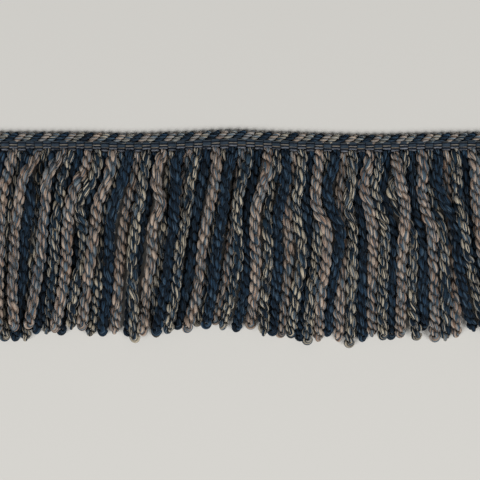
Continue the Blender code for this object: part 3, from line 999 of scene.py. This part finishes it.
def slanted_leg(index, rng):
    """Three plies wound round the leg's path, each a circle of angle growing along it."""
    at, points, light = leg_path(index)
    ahead = unit(np.gradient(points, axis=0))
    across_way = np.array([np.sin(LEG_LEAN), -np.cos(LEG_LEAN), 0])
    side = unit(across_way - ahead * (ahead @ across_way)[:, None])
    up = np.cross(side, ahead)
    start = rng.uniform(0, TURN)
    tubes = []
    for number in range(PLIES):
        turn = (start + TURN * number / PLIES - TURN * at / LEG_PLY_LAY)[:, None]
        outward = side * np.cos(turn) + up * np.sin(turn)
        around = side * np.sin(turn) - up * np.cos(turn)
        half = LEG_PLY_HALF * (1 + wandering(rng, at, *LEG_SWELL))
        centres = points + LEG_PLY_OFFSET * outward
        grid = rings(centres, outward, around, half * LEG_THICK, half * LEG_WIDE, LEG_SIDES)
        out = np.linalg.norm(grid - points[:, None], axis=-1) / (LEG_PLY_OFFSET + LEG_PLY_HALF)
        tubes.append((grid, painted_hollow_shade(out, *LEG_HOLLOWS) * light))
    return tubes


# Stretched round the edge, the yarn shows more pale threads, and its blue ones get painted light.
TAUPE_LEG = [(0.3, "#a59789"), (0.5, "#ae9f90"), (0.64, "#84736a"), (0.82, "#5a6b78"), (1, "#868e93")]
CREAM_LEG = [(0.3, "#aca494"), (0.45, "#938e82"), (0.62, "#223342"), (0.8, "#3a5162"), (1, "#78848c")]
LEG_YARNS = {
    "navy": CORD_YARNS["navy"],
    "taupe": marl("taupe marl yarn over the edge", TAUPE_LEG),
    "cream": marl("cream marl yarn over the edge", CREAM_LEG),
}
leg_rng = np.random.default_rng(SEED + 2)
for colour_place, colour in enumerate(YARNS):
    indices = [index for index in range(-1, STITCHES) if index % len(YARNS) == colour_place]
    tubes = [tube for index in indices for tube in slanted_leg(index, leg_rng)]
    piece = yarn_piece(f"{colour}_legs", tubes, LEG_YARNS[colour], "heading")

# %% [markdown]
# ## The woven ground
#
# Behind the yarns that show, the heading is a close band of weft. It is one thin sheet of cloth, and
# only its back and the slits show it, so a rounded strip with a fine weave is enough. Its near black is
# the weft's dark colour and painted shade, so that the slits read as depth. It is cut as long as its
# stitches and 10 mm high.

# %% Ground of the heading
GROUND_LOW = 0.45
GROUND_HIGH = 8.8
GROUND_THICK = 0.9
GROUND_STATIONS = 127
GROUND_SIDES = 16
GROUND_SINGLES = 24
GROUND_LAY = 900
# Nearly black, the weft's dark and painted shade, so that the slits between the yarns read as depth.
GROUND_SHADES = [(0.5, "#10161f"), (1, "#182029")]

ground_x = np.linspace(-STITCHES * PITCH / 2, STITCHES * PITCH / 2, GROUND_STATIONS)
ground_y = (GROUND_LOW + GROUND_HIGH) / 2 + heading_wave(ground_x)
ground_z = np.full(GROUND_STATIONS, GROUND_THICK / 2 + TABLE_GAP)
ground_path = np.stack([ORIGIN_X + ground_x, ORIGIN_Y + ground_y, ground_z], axis=-1)
along_y = np.tile((0.0, -1.0, 0.0), (GROUND_STATIONS, 1))
along_z = np.tile((0.0, 0.0, -1.0), (GROUND_STATIONS, 1))
half_y = np.full(GROUND_STATIONS, (GROUND_HIGH - GROUND_LOW) / 2)
half_z = np.full(GROUND_STATIONS, GROUND_THICK / 2)
ground_grid = rings(ground_path, along_y, along_z, half_y, half_z, GROUND_SIDES)
ground_tube = (ground_grid, np.ones(ground_grid.shape[:2]))
# The ground's near black is partly painted shade.
ground_yarn = marl("dark woven ground", GROUND_SHADES, GROUND_SINGLES, GROUND_LAY)
ground = yarn_piece("heading_ground", [ground_tube], ground_yarn, "heading")

# %% [markdown]
# ## The table
#
# The fringe lies on a pale matt table that fills the view. One flat face is enough for it. It is many
# times larger than the fringe, so its edges only show in a low view, far behind.

# %% Table
TABLE_SIDE = 4000
# Painted board with no gloss: it shows soft shadows and takes no highlight.
TABLE_FINISH = {"Base Color": linear("#d3d1cc"), "Roughness": 0.9, "Specular IOR Level": 0.2}

table_material, _ = new_material("pale matt table", TABLE_FINISH)
corners = np.array([(-1, -1, 0), (1, -1, 0), (1, 1, 0), (-1, 1, 0)]) * TABLE_SIDE / 2 * MM
table_mesh = bpy.data.meshes.new("table")
table_mesh.from_pydata(corners, [], [(0, 1, 2, 3)])
table_mesh.materials.append(table_material)
table = bpy.data.objects.new("table", table_mesh)
bpy.context.scene.collection.objects.link(table)
print("side of the table in mm", TABLE_SIDE)

# %% [markdown]
# ## The camera
#
# The photograph is taken straight down from far enough away that the cords look the same size at its
# edges. A new camera looks straight down, so only its place is set: over the photograph's centre, at
# the distance where a pixel is half a millimetre at the cords' middle height.

# %% Camera
PIXEL = 0.5
PHOTO_SIZE = 480
# The pixel of the photograph that shows the origin of the stitches.
ROOT_PIXEL_X, ROOT_PIXEL_Y = 242.6, 151
REFERENCE_HEIGHT = 4
LENS = 85
SENSOR = 36


def photo_point(pixel_x, pixel_y):
    """X and Y in mm of a pixel of the photograph."""
    return ORIGIN_X + (pixel_x - ROOT_PIXEL_X) * PIXEL, ORIGIN_Y + (ROOT_PIXEL_Y - pixel_y) * PIXEL


centre_x, centre_y = photo_point(PHOTO_SIZE / 2, PHOTO_SIZE / 2)
distance = PHOTO_SIZE * PIXEL * LENS / SENSOR + REFERENCE_HEIGHT
camera_data = bpy.data.cameras.new("camera")
camera_data.lens = LENS
camera_data.sensor_width = SENSOR
camera = bpy.data.objects.new("camera", camera_data)
camera.location = np.array((centre_x, centre_y, distance)) * MM
bpy.context.scene.collection.objects.link(camera)
bpy.context.scene.camera = camera
print("camera height in mm", round(distance), "view side in mm", PHOTO_SIZE * PIXEL)

# %% [markdown]
# ## The light
#
# The shadows in the photograph are faint and lie close to the yarn. Two large lamps far off to the left
# and right, both set towards the cords' tips, and a faint sky give that. One lamp straight above would
# light the hollows between the beads as much as their crowns. The lamps' lengths are in metres.

# %% Lamps and sky
LAMP_SIZE = 2.2
LAMP_ENERGY = 98
LAMP_HEIGHT = 2.2
LAMP_SIDEWAYS = 2.2
LAMP_FORWARD = -1.8
SKY_STRENGTH = 0.13

for name, sideways in (("left lamp", -LAMP_SIDEWAYS), ("right lamp", LAMP_SIDEWAYS)):
    lamp_data = bpy.data.lights.new(name, "AREA")
    lamp_data.shape = "DISK"
    lamp_data.size = LAMP_SIZE
    lamp_data.energy = LAMP_ENERGY
    lamp = bpy.data.objects.new(name, lamp_data)
    lamp.location = (sideways, LAMP_FORWARD, LAMP_HEIGHT)
    lamp.rotation_euler = lamp.location.to_track_quat("Z", "Y").to_euler()
    bpy.context.scene.collection.objects.link(lamp)

sky = bpy.data.worlds.new("soft studio")
sky.use_nodes = True
background = sky.node_tree.nodes["Background"]
background.inputs["Color"].default_value = (1, 1, 1, 1)
background.inputs["Strength"].default_value = SKY_STRENGTH
bpy.context.scene.world = sky
bpy.context.scene.view_settings.view_transform = "Standard"
print("watts of each lamp", LAMP_ENERGY, "sky strength", SKY_STRENGTH)
